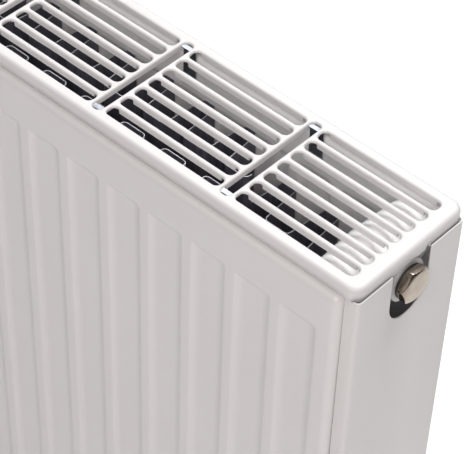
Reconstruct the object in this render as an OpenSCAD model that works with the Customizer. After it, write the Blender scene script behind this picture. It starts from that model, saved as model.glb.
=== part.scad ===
// Steel panel radiator: two pressed water panels, two convectors, clipped-on grille and side panels.
// Origin: middle of the bottom edge. +X along the length, -Y towards the room, +Z up. Millimetres.

/* [Overall] */
// Height from the bottom edge to the top of the grille
height = 600; // [400:100:900]
// Number of 100 mm grille bays along the length
bays = 8; // [4:1:14]
// Depth over the two water panels
depth = 102; // [98:1:110]

/* [Water panels] */
// Thickness of the panel steel
sheet = 1.25; // [1:0.05:1.5]
// Depth of the pressed grooves
groove_depth = 4.2; // [3:0.1:4.5]
// Width of a groove at the face of the panel
groove_mouth = 25.9; // [22:0.1:27]
// Width of a groove's floor
groove_floor = 10.7; // [8:0.1:12]
// Number of grooves to each 100 mm bay
grooves_per_bay = 3; // [3:1:3]
// Radius of the rolled rim
rim_r = 5; // [3:0.25:5]
// Plain band above the grooves
top_band = 29.5; // [25:0.5:40]
// Plain band below the grooves
bottom_band = 42; // [40:0.5:60]

/* [Convectors] */
// Thickness of the convector steel
fin_sheet = 0.6; // [0.4:0.05:0.8]
// Width of the crest welded to the water panel
fin_weld_w = 10; // [8:0.5:12]
// Width of the crest in the middle of the radiator
fin_mid_w = 17.9; // [14:0.1:20]
// Depth of one convector
fin_depth = 32.6; // [25:0.1:35]
// Distance from the grille's top down to the convectors
fin_drop = 37; // [30:1:60]

/* [Grille] */
// Thickness of the grille and side panel steel
cover_sheet = 1.2; // [0.8:0.1:1.2]
// Depth of the grille's front and rear flanges
flange_h = 8.5; // [7:0.5:12]
// Width of one slot
slot_w = 8; // [6:0.1:8.5]
// Number of slot rows
slot_rows = 7; // [5:1:7]
// Distance between slot rows
slot_pitch = 11.41; // [10:0.01:11.41]
// Length of the solid stretch and cross slot between two bays
bay_gap = 12.4; // [11:0.1:14]
// Width of the cross slot between two bays
cross_w = 7.2; // [5:0.1:8]
// Depth of the lips turned down along each slot
lip_h = 3; // [2:0.1:3.5]

/* [Side panels] */
// Width of the cut-outs around the connections
cut_w = 33; // [32:0.5:40]

/* [Connections] */
// Distance between the upper and lower connection centres
hub_distance = 550; // [350:50:850]
// Height of the lower connection centre
hub_z = 25; // [25:0.1:30]
// Radius of the threaded hole, at the crests of a G 1/2 thread
thread_r = 9.32; // [9:0.01:10.5]
// Length of thread in each boss
thread_len = 16; // [12:0.5:18]
// Outer radius of the boss
boss_r = 14; // [13:0.1:16]
// Width across the flats of the plugs
plug_af = 21; // [20:0.5:24]

/* [Hidden] */
$fn = 64;
eps = 0.5;

// Overall
bay = 100;
length = bays * bay + 6;
half_len = length / 2;
lug_reach = 8;
mid_y = -lug_reach / 2;

// Water panels
grille_gap = 0.3;
panel_top = height - flange_h - grille_gap;
panel_half = half_len - 10;
seam = groove_depth + sheet;
panel_t = 2 * seam;
face_y = depth / 2;
inner_y = face_y - panel_t;
groove_pitch = bay / grooves_per_bay;
groove_side = floor((panel_half - groove_mouth / 2) / groove_pitch);
wall_run = (groove_mouth - groove_floor) / (2 * groove_depth);
wall_gain = sheet * sqrt(1 + wall_run * wall_run);

// Convectors
fin_bend = 3;
fin_bend_steps = 3;
fin_side = grooves_per_bay * bays / 2 - 2.5;
fin_top = height - fin_drop;
fin_bottom = 40;
fin_step = 23;
fin_step_len = 127;

// Tees and bosses
weld_gap = 0.02;
tee_x = half_len - 26.6;
tee_r = 16.5;
tee_half = inner_y - 3.2;
bulge_r = 18.6;
bulge_half = 9;
neck_r = 12;
tee_way_r = 10.5;
boss_end = half_len - 2.7;
boss_start = boss_end - thread_len - 4;
boss_chamfer = 1;
way_r = 7.5;

// Grille
grille_half = half_len - 1.5;
grille_y = face_y - seam + 0.8;
grille_round = 3;
grille_corner = 8;
end_margin = 10.2;
slot_corner = 3.2;
cross_len = (slot_rows - 1) * slot_pitch + slot_w + 3;
lip_stop = 4;
end_flange_h = 9.5;
arch_r = cut_w / 2;
notch_y = 12;
notch_w = 3.5;
notch_h = 3;
strap_w = 10;
strap_t = 0.8;
strap_h = 24;
strap_foot = 3;
strap_gap = 0.5;

// Side panels
side_front = -46;
side_rear = 44.2;
side_top = height - 8;
side_bottom = 2;
side_bend = 3;
side_flange = 9.6;
side_t = 1;
cut_y = -1.2;
cut_drop = 7.1;
relief = 2;
corner_top = height - end_flange_h - 0.5;
clip_w = 20;
clip_t = 0.8;
clip_reach = 20;
clip_base = 12;

// Plugs and air vent
fit_gap = 0.05;
head_start = half_len - 1.3;
head_end = half_len + 4.3;
hex_r = plug_af / sqrt(3);
hex_chamfer = 1.6;
hex_turn = 21;
shank_start = boss_end - thread_len + 2;
ring_mid = 10.4;
ring_r = (head_start - boss_end) / 2 - weld_gap;
collar_gap = 0.3;
collar_start = head_start + 2.2;
collar_end = head_end - 0.4;
collar_r = 9.5;
spigot_r = 5.6;
spout_r = 1.4;
spout_way_r = 0.7;
spout_reach = 2;
spindle_r = 3.5;
spindle_start = shank_start - 1;
recess_r = 4.2;
recess_start = head_end - 4.5;
key_w = 4.9;
key_end = head_end - 0.5;
key_slot_w = 0.9;
key_slot_h = 1;

// Hanging lugs
lug_h = 40;
lug_t = 2;
lug_x = round(length / 3 / groove_pitch) * groove_pitch;
upper_lug_z = height - 130;
lower_lug_z = 90;

// ---- Helpers ----------------------------------------------------------------------------------

// Moves a part from the middle plane of the water panels to the row frame
module placed() {
    translate([0, mid_y, 0]) children();
}

// Cylinder along +X from x0 to x1
module rod_x(x0, x1, r, fn = 64) {
    translate([x0, 0, 0]) rotate([0, 90, 0]) cylinder(h = x1 - x0, r = r, $fn = fn);
}

// Cylinder along Y, centred
module rod_y(half, r) {
    rotate([90, 0, 0]) cylinder(h = 2 * half, r = r, center = true);
}

// Strip from y = front to y = back whose two front corners are rounded
module rounded_front(half, front, back, r) {
    intersection() {
        translate([-half, front]) square([2 * half, back - front]);
        union() {
            translate([-half + r, front]) square([2 * (half - r), back - front]);
            translate([-half, front + r]) square([2 * half, back - front]);
            for (side = [-1, 1]) translate([side * (half - r), front + r]) circle(r = r);
        }
    }
}

// ---- Water panels -----------------------------------------------------------------------------

// Pan with a rounded rim, its face at y = inset, open towards +Y
module pan(inset, back) {
    half = panel_half - inset;
    z_half = panel_top / 2 - inset;
    r = rim_r - inset;
    intersection() {
        translate([0, 0, inset]) linear_extrude(2 * z_half) rounded_front(half, inset, back, r);
        translate([-half, 0, panel_top / 2]) rotate([90, 0, 90])
            linear_extrude(2 * half) rotate(90) mirror([0, 1]) rounded_front(z_half, inset, back, r);
    }
}

// Cross-section of one groove: mouth at y = 0, floor at y = bottom
module groove_section(mouth, bottom) {
    lead = 1;
    floor_w = mouth - 2 * wall_run * bottom;
    polygon([
        [-mouth / 2 - wall_run * lead, -lead], [mouth / 2 + wall_run * lead, -lead],
        [floor_w / 2, bottom], [-floor_w / 2, bottom]
    ]);
}

// All grooves of a panel, with sloping ends
module grooves(gain, bottom) {
    z0 = bottom_band - gain;
    z1 = panel_top - top_band + gain;
    intersection() {
        linear_extrude(panel_top)
            for (i = [-groove_side:groove_side])
                translate([i * groove_pitch, 0]) groove_section(groove_mouth + 2 * gain, bottom);
        translate([-panel_half, 0, (z0 + z1) / 2]) rotate([90, 0, 90])
            linear_extrude(2 * panel_half) rotate(90) mirror([0, 1]) groove_section(z1 - z0, bottom);
    }
}

// One pressed sheet, face at y = 0, seam at y = seam
module pressed_sheet() {
    difference() {
        pan(0, seam);
        grooves(0, groove_depth);
        difference() {
            pan(sheet, seam + eps);
            grooves(wall_gain, seam);
        }
    }
}

// Sheet with its face at distance y from the middle plane, on the front side
module front_facing(y) {
    translate([0, -y, 0]) pressed_sheet();
}

// Holes where the four tees enter a panel
module tee_holes() {
    for (side = [-1, 1], z = [hub_z, hub_z + hub_distance])
        translate([side * tee_x, 0, z]) rod_y(depth, neck_r + weld_gap);
}

module front_panel_outer_sheet() {
    color("whitesmoke") placed() front_facing(face_y);
}

module front_panel_inner_sheet() {
    color("whitesmoke") placed() difference() {
        translate([0, -inner_y, 0]) mirror([0, 1, 0]) pressed_sheet();
        tee_holes();
    }
}

module rear_panel_inner_sheet() {
    color("whitesmoke") placed() difference() {
        translate([0, inner_y, 0]) pressed_sheet();
        tee_holes();
    }
}

module rear_panel_outer_sheet() {
    color("whitesmoke") placed() mirror([0, 1, 0]) front_facing(face_y);
}

// ---- Convectors -------------------------------------------------------------------------------

// Corner points of the folded sheet, from end to end
function fin_corners() = [
    for (i = [-fin_side:fin_side])
        let (x = i * groove_pitch, w = fin_weld_w / 2, m = (groove_pitch - fin_mid_w) / 2)
            each [[x - m, fin_depth], [x - w, 0], [x + w, 0], [x + m, fin_depth]]
];

function unit(v) = v / norm(v);

// Arc that rounds the corner b between a and c
function corner_arc(a, b, c, r, steps) =
    let (
        u = unit(a - b),
        v = unit(c - b),
        half = acos(u * v) / 2,
        centre = b + unit(u + v) * r / sin(half),
        p = b + u * r / tan(half) - centre,
        q = b + v * r / tan(half) - centre,
        a0 = atan2(p.y, p.x),
        turn = atan2(p.x * q.y - p.y * q.x, p * q)
    ) [for (i = [0:steps]) centre + r * [cos(a0 + turn * i / steps), sin(a0 + turn * i / steps)]];

// Middle line of the sheet with every bend rounded
function fin_line(pts) = concat(
    [pts[0]],
    [for (i = [1:len(pts) - 2]) each corner_arc(pts[i - 1], pts[i], pts[i + 1], fin_bend, fin_bend_steps)],
    [pts[len(pts) - 1]]
);

// Points of a line moved sideways by d
function beside(line, d) = [
    for (i = [0:len(line) - 1])
        let (
            before = line[max(i - 1, 0)],
            after = line[min(i + 1, len(line) - 1)],
            along = unit(after - before)
        ) line[i] + d * [-along.y, along.x]
];

function reversed(list) = [for (i = [len(list) - 1:-1:0]) list[i]];

// Folded sheet that touches the plane y = 0 and reaches to y = fin_depth, cut back around the tees
module convector() {
    line = fin_line(fin_corners());
    difference() {
        translate([0, fin_sheet / 2, fin_bottom]) linear_extrude(fin_top - fin_bottom)
            polygon(concat(beside(line, fin_sheet / 2), reversed(beside(line, -fin_sheet / 2))));
        for (side = [0, 1], z = [fin_bottom - eps, fin_top - fin_step])
            mirror([side, 0, 0]) translate([half_len - fin_step_len, -eps, z])
                cube([fin_step_len, fin_depth + 4 * eps, fin_step + eps]);
    }
}

module front_convector() {
    color("dimgray") placed() translate([0, -inner_y, 0]) convector();
}

module rear_convector() {
    color("dimgray") placed() mirror([0, 1, 0]) translate([0, -inner_y, 0]) convector();
}

// ---- Tees and bosses --------------------------------------------------------------------------

// Cross tube between the panels, at the right-hand end, with its axis at z = 0
module tee() {
    difference() {
        union() {
            translate([tee_x, 0, 0]) rod_y(tee_half, tee_r);
            translate([tee_x, 0, 0]) rod_y(inner_y + sheet, neck_r);
            translate([tee_x, 0, 0]) rod_y(bulge_half, bulge_r);
        }
        translate([tee_x, 0, 0]) rod_y(inner_y + sheet + eps, tee_way_r);
        rod_x(tee_x, half_len, boss_r + weld_gap);
    }
}

// Internally threaded boss, welded into the tee
module boss() {
    difference() {
        rod_x(boss_start, boss_end, boss_r);
        rod_x(boss_end - thread_len, boss_end + eps, thread_r);
        rod_x(boss_start - eps, boss_end, way_r);
        translate([boss_end - boss_chamfer, 0, 0]) rotate([0, 90, 0])
            cylinder(h = 2 * boss_chamfer, r1 = thread_r, r2 = thread_r + 2 * boss_chamfer);
    }
}

// Puts a part made for the right-hand end at one of the four connections
module at_hub(left, top) {
    placed() translate([0, 0, hub_z + top * hub_distance]) mirror([left, 0, 0]) children();
}

module top_right_tee() {
    color("whitesmoke") at_hub(0, 1) tee();
}

module top_left_tee() {
    color("whitesmoke") at_hub(1, 1) tee();
}

module bottom_right_tee() {
    color("whitesmoke") at_hub(0, 0) tee();
}

module bottom_left_tee() {
    color("whitesmoke") at_hub(1, 0) tee();
}

module top_right_boss() {
    color("lightgray") at_hub(0, 1) boss();
}

module top_left_boss() {
    color("lightgray") at_hub(1, 1) boss();
}

module bottom_right_boss() {
    color("lightgray") at_hub(0, 0) boss();
}

module bottom_left_boss() {
    color("lightgray") at_hub(1, 0) boss();
}

// ---- Grille -----------------------------------------------------------------------------------

// Rectangle with rounded corners, centred
module rounded_rect(w, h, r) {
    square([w - 2 * r, h], center = true);
    square([w, h - 2 * r], center = true);
    for (x = [-1, 1], y = [-1, 1])
        translate([x * (w / 2 - r), y * (h / 2 - r)]) circle(r = r);
}

// Box with rounded top edges and rounded corners in plan; its top is at z = 0
module cap_block(inset, low) {
    half = grille_half - inset;
    y_half = grille_y - inset;
    r = grille_round - inset;
    intersection() {
        translate([0, 0, -low]) linear_extrude(low - inset)
            rounded_rect(2 * half, 2 * y_half, grille_corner - inset);
        translate([-half, 0, 0]) rotate([90, 0, 90])
            linear_extrude(2 * half) mirror([0, 1]) rounded_front(y_half, inset, low, r);
        translate([0, y_half, 0]) rotate([90, 0, 0])
            linear_extrude(2 * y_half) mirror([0, 1]) rounded_front(half, inset, low, r);
    }
}

// First and last x of the slots in each bay, from left to right
function bay_spans() = [
    for (i = [0:bays - 1])
        let (x = (i - bays / 2) * bay)
            [
                i == 0 ? -grille_half + end_margin : x + bay_gap / 2,
                i == bays - 1 ? grille_half - end_margin : x + bay - bay_gap / 2
            ]
];

function row_y(row) = (row - (slot_rows - 1) / 2) * slot_pitch;

// Two lips that hang from the long edges of a slot lying along X
module lips(len, width) {
    for (side = [-1, 1])
        translate([-len / 2, side * (width + cover_sheet) / 2 - cover_sheet / 2, -cover_sheet - lip_h])
            cube([len, cover_sheet, lip_h + cover_sheet / 2]);
}

// Calls its children once at the middle of each slot, with the slot's length in $len
module each_slot() {
    for (span = bay_spans(), row = [0:slot_rows - 1]) {
        $len = span[1] - span[0];
        translate([(span[0] + span[1]) / 2, row_y(row), 0]) children();
    }
}

module each_cross_slot() {
    for (i = [1:bays - 1]) translate([(i - bays / 2) * bay, 0, 0]) rotate(90) children();
}

module top_grille() {
    color("white") placed() translate([0, 0, height]) union() {
        difference() {
            cap_block(0, end_flange_h);
            cap_block(cover_sheet, end_flange_h + eps);
            translate([0, 0, -cover_sheet - eps]) linear_extrude(cover_sheet + 2 * eps) {
                each_slot() rounded_rect($len, slot_w, slot_corner);
                each_cross_slot() rounded_rect(cross_len, cross_w, slot_corner);
            }
            for (side = [-1, 1])
                translate([0, side * grille_y, -end_flange_h])
                    cube([2 * (grille_half - grille_corner), 4 * cover_sheet,
                        2 * (end_flange_h - flange_h)], center = true);
            translate([0, 0, hub_z + hub_distance - height]) rod_x(-half_len, half_len, arch_r);
            translate([-half_len, notch_y, -end_flange_h - eps]) cube([length, notch_w, notch_h + eps]);
        }
        each_slot() lips($len - 2 * lip_stop, slot_w);
        each_cross_slot() lips(cross_len - 2 * lip_stop, cross_w);
    }
}

// Spring straps under the cross slots that grip the inner faces of the water panels
module grille_clips() {
    y = inner_y - strap_gap;
    foot_y = y - strap_foot;
    foot_z = -strap_h - strap_foot;
    color("silver") placed()
        for (i = [1:bays - 1], side = [0, 1])
            mirror([0, side, 0]) translate([(i - bays / 2) * bay - strap_w / 2, 0, height - cover_sheet])
                rotate([90, 0, 90]) linear_extrude(strap_w) polygon([
                    [y, 0], [y, -strap_h], [foot_y, foot_z], [foot_y - strap_t, foot_z + strap_t],
                    [y - strap_t, strap_t / 2 - strap_h], [y - strap_t, 0]
                ]);
}

// ---- Side panels ------------------------------------------------------------------------------

// Channel section of a side panel: outer plane at x = half_len, flanges towards -X
module side_section(inset) {
    d = side_rear - side_front - 2 * inset;
    translate([half_len - inset, (side_front + side_rear) / 2]) rotate(90)
        rounded_front(d / 2, 0, side_flange + (inset > 0 ? eps : 0), side_bend - inset);
}

// Cut-out open at its lower end, with a round top, around the connection at z = 0
module side_cut(reach) {
    translate([half_len - 2 * side_t, cut_y, cut_drop]) {
        rod_x(0, 3 * side_t, cut_w / 2);
        translate([0, -cut_w / 2, -reach]) cube([3 * side_t, cut_w, reach]);
    }
}

module side_panel() {
    difference() {
        translate([0, 0, side_bottom]) linear_extrude(side_top - side_bottom) difference() {
            side_section(0);
            side_section(side_t);
        }
        translate([0, 0, hub_z]) side_cut(hub_z + cut_drop + eps);
        translate([0, 0, hub_z + hub_distance]) mirror([0, 0, 1]) side_cut(height);
        for (y = [side_front - eps, side_rear - side_bend])
            translate([half_len - side_flange - eps, y, corner_top])
                cube([side_flange + 2 * eps, side_bend + eps, height]);
        for (y = [side_front + side_bend - relief / 2, side_rear - side_bend - relief / 2])
            translate([half_len - 2 * side_t, y, corner_top - relief / 2])
                cube([3 * side_t, relief, height]);
    }
}

module right_side_panel() {
    color("white") placed() side_panel();
}

module left_side_panel() {
    color("white") placed() mirror([1, 0, 0]) side_panel();
}

// Spring clips on a side panel that reach in beside the water panels
module side_clips() {
    y = inner_y - strap_gap;
    x = half_len - side_t;
    for (z = [height / 4, height * 3 / 4], side = [0, 1])
        mirror([0, side, 0]) translate([0, 0, z - clip_w / 2]) linear_extrude(clip_w) polygon([
            [x, y], [x - clip_reach, y], [x - clip_reach, y - clip_t],
            [x - clip_t, y - clip_t], [x - clip_t, y - clip_base], [x, y - clip_base]
        ]);
}

module right_side_clips() {
    color("silver") placed() side_clips();
}

module left_side_clips() {
    color("silver") placed() mirror([1, 0, 0]) side_clips();
}

// ---- Plugs ------------------------------------------------------------------------------------

// Hexagon bar along X with its corners chamfered at the outer end
module hex_head(x0, x1) {
    intersection() {
        rotate([hex_turn, 0, 0]) rod_x(x0, x1, hex_r, 6);
        translate([x0, 0, 0]) rotate([0, 90, 0]) rotate_extrude() polygon([
            [0, 0], [hex_r + 1, 0], [hex_r + 1, x1 - x0 - hex_chamfer],
            [hex_r, x1 - x0 - hex_chamfer], [hex_r - 1.3 * hex_chamfer, x1 - x0], [0, x1 - x0]
        ]);
    }
}

// Threaded shank that screws into a boss
module shank() {
    rod_x(shank_start, head_start + eps, thread_r - fit_gap);
}

module o_ring() {
    translate([(boss_end + head_start) / 2, 0, 0]) rotate([0, 90, 0])
        rotate_extrude() translate([ring_mid, 0]) circle(r = ring_r);
}

module blanking_plug() {
    color("tan") at_hub(0, 1) {
        hex_head(head_start, head_end);
        shank();
    }
}

module blanking_o_ring() {
    color("black") at_hub(0, 1) o_ring();
}

// Body of the air vent: a plug with a spigot for the collar and a way through for the bleed screw
module vent_plug() {
    color("tan") at_hub(1, 1) difference() {
        union() {
            hex_head(head_start, collar_start - collar_gap);
            shank();
            rod_x(head_start, head_end, spigot_r);
        }
        rod_x(shank_start - eps, head_end + eps, spindle_r + fit_gap);
        rod_x(recess_start, head_end + eps, recess_r);
    }
}

module vent_o_ring() {
    color("black") at_hub(1, 1) o_ring();
}

// White swivelling collar with its small outlet spout
module vent_collar() {
    color("white") at_hub(1, 1) difference() {
        union() {
            rod_x(collar_start, collar_end, collar_r);
            translate([(collar_start + collar_end) / 2, 0, -collar_r - spout_reach])
                cylinder(h = collar_r + spout_reach, r = spout_r);
        }
        rod_x(collar_start - eps, collar_end + eps, spigot_r + fit_gap);
        translate([(collar_start + collar_end) / 2, 0, -collar_r - spout_reach - eps])
            cylinder(h = collar_r + spout_reach + eps, r = spout_way_r);
    }
}

// Bleed screw with a square head and a driver slot
module vent_screw() {
    color("goldenrod") at_hub(1, 1) difference() {
        union() {
            rod_x(spindle_start, recess_start, spindle_r);
            translate([recess_start - eps, -key_w / 2, -key_w / 2])
                cube([key_end - recess_start + eps, key_w, key_w]);
        }
        translate([key_end - key_slot_h, -key_slot_w / 2, -key_w])
            cube([2 * key_slot_h, key_slot_w, 2 * key_w]);
    }
}

// ---- Hanging lugs -----------------------------------------------------------------------------

// Channel strap welded to two ribs of the rear panel, open at the bottom for the wall bracket
module lugs(z) {
    web = groove_pitch + lug_t;
    for (side = [-1, 1])
        translate([side * lug_x, face_y, z]) linear_extrude(lug_h) difference() {
            translate([-web / 2, 0]) square([web, lug_reach]);
            translate([-web / 2 + lug_t, -eps]) square([web - 2 * lug_t, lug_reach - lug_t + eps]);
        }
}

module upper_lugs() {
    color("whitesmoke") placed() lugs(upper_lug_z);
}

module lower_lugs() {
    color("whitesmoke") placed() lugs(lower_lug_z);
}

// ---- Nodes ------------------------------------------------------------------------------------

front_panel_outer_sheet();
front_panel_inner_sheet();
rear_panel_inner_sheet();
rear_panel_outer_sheet();
front_convector();
rear_convector();
top_right_tee();
top_left_tee();
bottom_right_tee();
bottom_left_tee();
top_right_boss();
top_left_boss();
bottom_right_boss();
bottom_left_boss();
top_grille();
grille_clips();
right_side_panel();
left_side_panel();
right_side_clips();
left_side_clips();
blanking_plug();
blanking_o_ring();
vent_plug();
vent_o_ring();
vent_collar();
vent_screw();
upper_lugs();
lower_lugs();
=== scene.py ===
"""Looks of the steel panel radiator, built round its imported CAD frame.

Shapes are worked out in millimetres in the row frame (+X along the length, -Y to the room, +Z up)
and scaled to metres when a piece is made.
"""
import math

import bmesh
import bpy
import numpy as np
from mathutils import Matrix, Vector
from mathutils.geometry import delaunay_2d_cdt

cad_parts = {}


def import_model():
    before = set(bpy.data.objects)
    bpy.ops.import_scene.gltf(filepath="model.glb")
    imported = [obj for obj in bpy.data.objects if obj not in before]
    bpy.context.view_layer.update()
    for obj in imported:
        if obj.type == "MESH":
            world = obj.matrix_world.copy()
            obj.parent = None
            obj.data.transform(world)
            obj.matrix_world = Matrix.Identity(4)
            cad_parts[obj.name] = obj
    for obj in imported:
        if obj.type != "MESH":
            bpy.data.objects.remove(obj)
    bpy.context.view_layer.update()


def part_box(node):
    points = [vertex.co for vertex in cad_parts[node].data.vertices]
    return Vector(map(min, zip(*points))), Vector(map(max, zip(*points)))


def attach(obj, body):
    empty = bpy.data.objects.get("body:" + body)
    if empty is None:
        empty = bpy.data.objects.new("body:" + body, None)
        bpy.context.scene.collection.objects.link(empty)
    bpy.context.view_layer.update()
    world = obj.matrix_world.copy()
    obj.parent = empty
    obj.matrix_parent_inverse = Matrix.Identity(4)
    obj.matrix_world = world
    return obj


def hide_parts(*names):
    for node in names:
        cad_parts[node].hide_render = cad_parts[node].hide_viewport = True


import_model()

MM = 0.001


# ---- Sizes taken from the frame ---------------------------------------------------------------

def box(node):
    """Lowest and highest corner of a CAD node, in millimetres."""
    low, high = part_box(node)
    return np.array(low) / MM, np.array(high) / MM


front_low, front_high = box("front_panel_outer_sheet")
rear_high = box("rear_panel_outer_sheet")[1]
grille_low, grille_high = box("top_grille")
side_low, side_high = box("right_side_panel")
boss_low, boss_high = box("top_right_boss")
low_boss_low, low_boss_high = box("bottom_right_boss")
plug_high = box("blanking_plug")[1]
ring_low, ring_high = box("blanking_o_ring")
tee_low, tee_high = box("top_right_tee")
collar_low, collar_high = box("vent_collar")
screw_low, screw_high = box("vent_screw")
fins_low, fins_high = box("front_convector")

MID_Y = (front_low[1] + rear_high[1]) / 2
HEIGHT = grille_high[2]
HALF_LEN = side_high[0]
PANEL_HALF = front_high[0]
PANEL_TOP = front_high[2]
SEAM = front_high[1] - front_low[1]
FACE = MID_Y - front_low[1]
INNER = box("rear_panel_inner_sheet")[0][1] - MID_Y
HUB_TOP = (boss_low[2] + boss_high[2]) / 2
HUB_LOW = (low_boss_low[2] + low_boss_high[2]) / 2
BOSS_END = boss_high[0]
BOSS_START = boss_low[0]
BOSS_R = (boss_high[2] - boss_low[2]) / 2
HEAD_START = ring_high[0] + 0.02
HEAD_END = plug_high[0]
TEE_X = (tee_low[0] + tee_high[0]) / 2

# Pressed sheets
SHEET = 1.25
GROOVE_DEPTH = 4.2
GROOVE_MOUTH = 25.9
GROOVE_FLOOR = 10.7
PITCH = 100 / 3
GROOVE_SIDE = 11
RIM_R = 5.0
TOP_BAND = 29.5
BOTTOM_BAND = 42.0

# Grille
COVER = 1.2
SLOT_W = 8.0
SLOT_ROWS = 7
SLOT_PITCH = 11.41
BAY = 100.0
BAYS = 8
BAY_GAP = 12.4
CROSS_W = 7.2
SLOT_CORNER = 3.2
END_MARGIN = 10.2
CROSS_EXTRA = 3.0
LIP_BOTTOM = 4.2
LIP_STOP = 4.0
FLANGE_H = 8.5
END_FLANGE_H = 9.5

# Corners of a rectangle, anticlockwise: signs of x and y, and the angle where the corner's arc starts
CORNERS = [(1, 1, 0), (-1, 1, 90), (-1, -1, 180), (1, -1, 270)]

# Side panels; the cut-outs' arcs are centred CUT_DROP nearer the panel's middle than the hubs
SIDE_SHEET = 1.0
SIDE_BEND = 3.0
CUT_R = 16.5
CUT_DROP = 7.1

# Threads: 14 turns an inch
THREAD_PITCH = 25.4 / 14
THREAD_R = 9.32
THREAD_ROOT_R = 10.47
THREAD_LEN = 16
SHANK_LEN = 14
WATER_WAY_R = 7.5

# Blunted hexagon of both plugs, and how deep the vent's recess is
HEX_FLAT = 10.5
HEX_CORNER = 11.75
CORNER_SPAN = math.pi / 6 - math.acos(HEX_FLAT / HEX_CORNER)
HEX_TURN = math.radians(51)
RECESS_DEPTH = 4.5


# ---- Making pieces ----------------------------------------------------------------------------

class Shell:
    """Collects the points and faces of one piece, in millimetres."""

    def __init__(self):
        self.points = []
        self.faces = []
        self.slots = []

    def add(self, points):
        start = len(self.points)
        self.points.extend(tuple(float(c) for c in p) for p in points)
        return start

    def face(self, indices, slot=0):
        self.faces.append(tuple(indices))
        self.slots.append(slot)

    def grid(self, rows, wrap=False, slot=0):
        """Quads between rows of points; wrap joins each row's end to its start."""
        rows = np.asarray(rows, float)
        n, m = rows.shape[:2]
        start = self.add(rows.reshape(-1, 3))
        for i in range(n - 1):
            for j in range(m if wrap else m - 1):
                k = (j + 1) % m
                a, b = start + i * m, start + (i + 1) * m
                self.face((a + j, a + k, b + k, b + j), slot)

    def flat(self, outline, holes, place, folds=(), slot=0):
        """Fills an outline with holes, in triangles that keep the fold lines (pairs of outline points)."""
        loops = [outline] + list(holes)
        points = [Vector((float(x), float(y))) for loop in loops for x, y in loop]
        sides = list(folds)
        start = 0
        for loop in loops:
            n = len(loop)
            sides += [(start + i, start + (i + 1) % n) for i in range(n)]
            start += n
        found, _, triangles = delaunay_2d_cdt(points, sides, [], 0, 1e-5)[:3]
        flat = np.array([tuple(p) for p in found])
        centres = np.array([flat[list(tri)].mean(axis=0) for tri in triangles])
        kept = inside(centres, np.array(outline, float))
        for hole in holes:
            kept &= ~inside(centres, np.array(hole, float))
        first = self.add(place(x, y) for x, y in flat)
        for tri, keep in zip(triangles, kept):
            if keep:
                self.face([first + i for i in tri], slot)

    def build(self, name, body, nodes, materials, angle=35, bevel=0.0, mirrored=False):
        """Makes the object: joins seams, turns faces outwards, rides it and hides its CAD nodes."""
        mesh = bpy.data.meshes.new(name)
        sign = -1 if mirrored else 1
        mesh.from_pydata([(sign * x * MM, y * MM, z * MM) for x, y, z in self.points], [], self.faces)
        for material in materials:
            mesh.materials.append(material)
        mesh.polygons.foreach_set("material_index", self.slots)
        bm = bmesh.new()
        bm.from_mesh(mesh)
        bmesh.ops.remove_doubles(bm, verts=bm.verts, dist=2e-6)
        bmesh.ops.dissolve_degenerate(bm, edges=bm.edges, dist=1e-7)
        bmesh.ops.recalc_face_normals(bm, faces=bm.faces)
        if bevel:
            sharp = [e for e in bm.edges if len(e.link_faces) == 2 and e.calc_face_angle() > math.radians(50)]
            bmesh.ops.bevel(bm, geom=sharp, offset=bevel * MM, segments=2, profile=0.5,
                            affect="EDGES", clamp_overlap=True)
        bm.to_mesh(mesh)
        bm.free()
        mesh.shade_smooth()
        mesh.set_sharp_from_angle(angle=math.radians(angle))
        return finish_piece(link(name, mesh), body, nodes)


def link(name, data):
    made = bpy.data.objects.new(name, data)
    bpy.context.scene.collection.objects.link(made)
    return made


def finish_piece(piece, body, nodes):
    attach(piece, body)
    if nodes:
        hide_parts(*nodes)
    return piece


def inside(points, ring):
    """True for each point that lies inside the closed ring."""
    x, y = ring[:, 0], ring[:, 1]
    x2, y2 = np.roll(x, -1), np.roll(y, -1)
    px, py = points[:, :1], points[:, 1:]
    crosses = (y > py) != (y2 > py)
    with np.errstate(divide="ignore", invalid="ignore"):
        at = x + (py - y) * (x2 - x) / (y2 - y)
    return np.count_nonzero(crosses & (px < at), axis=1) % 2 == 1


def arc(cx, cy, r, start, end, steps):
    """Points on an arc, angles in degrees."""
    angles = np.radians(np.linspace(start, end, steps + 1))
    return [(cx + r * math.cos(a), cy + r * math.sin(a)) for a in angles]


def revolve(shell, profile, place, steps=64, slot=0):
    """Turns a closed (along, radius) profile round an axis; place(along, a, b) gives the point."""
    rows = []
    for angle in np.linspace(0, 2 * math.pi, steps, endpoint=False):
        c, s = math.cos(angle), math.sin(angle)
        rows.append([place(along, r * c, r * s) for along, r in list(profile) + [profile[0]]])
    rows.append(rows[0])
    shell.grid(rows, slot=slot)


def at_hub(z):
    """Place for parts on a connection's axis, where a and b are measured from that axis."""
    return lambda along, a, b: (along, MID_Y + a, z + b)


def folded(shell, line, spans, thickness, place, slot=0, edge_slot=0):
    """Sheet of one thickness that follows a (u, v) line and spans from spans[0] to spans[1] in w."""
    line = np.array(line, float)
    ahead = np.vstack([line[1:], line[-1:]])
    behind = np.vstack([line[:1], line[:-1]])
    along = ahead - behind
    along /= np.linalg.norm(along, axis=1)[:, None]
    normal = np.stack([-along[:, 1], along[:, 0]], axis=1)
    left, right = line + normal * thickness / 2, line - normal * thickness / 2
    low, high = spans

    def row(points, w):
        return [place(u, v, w) for u, v in points]

    shell.grid([row(left, low), row(left, high)], slot=slot)
    shell.grid([row(right, low), row(right, high)], slot=slot)
    shell.grid([row(left, high), row(right, high)], slot=edge_slot)
    shell.grid([row(left, low), row(right, low)], slot=edge_slot)
    for end in (0, -1):
        shell.grid([[place(*left[end], low), place(*left[end], high)],
                    [place(*right[end], low), place(*right[end], high)]], slot=slot)


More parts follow.
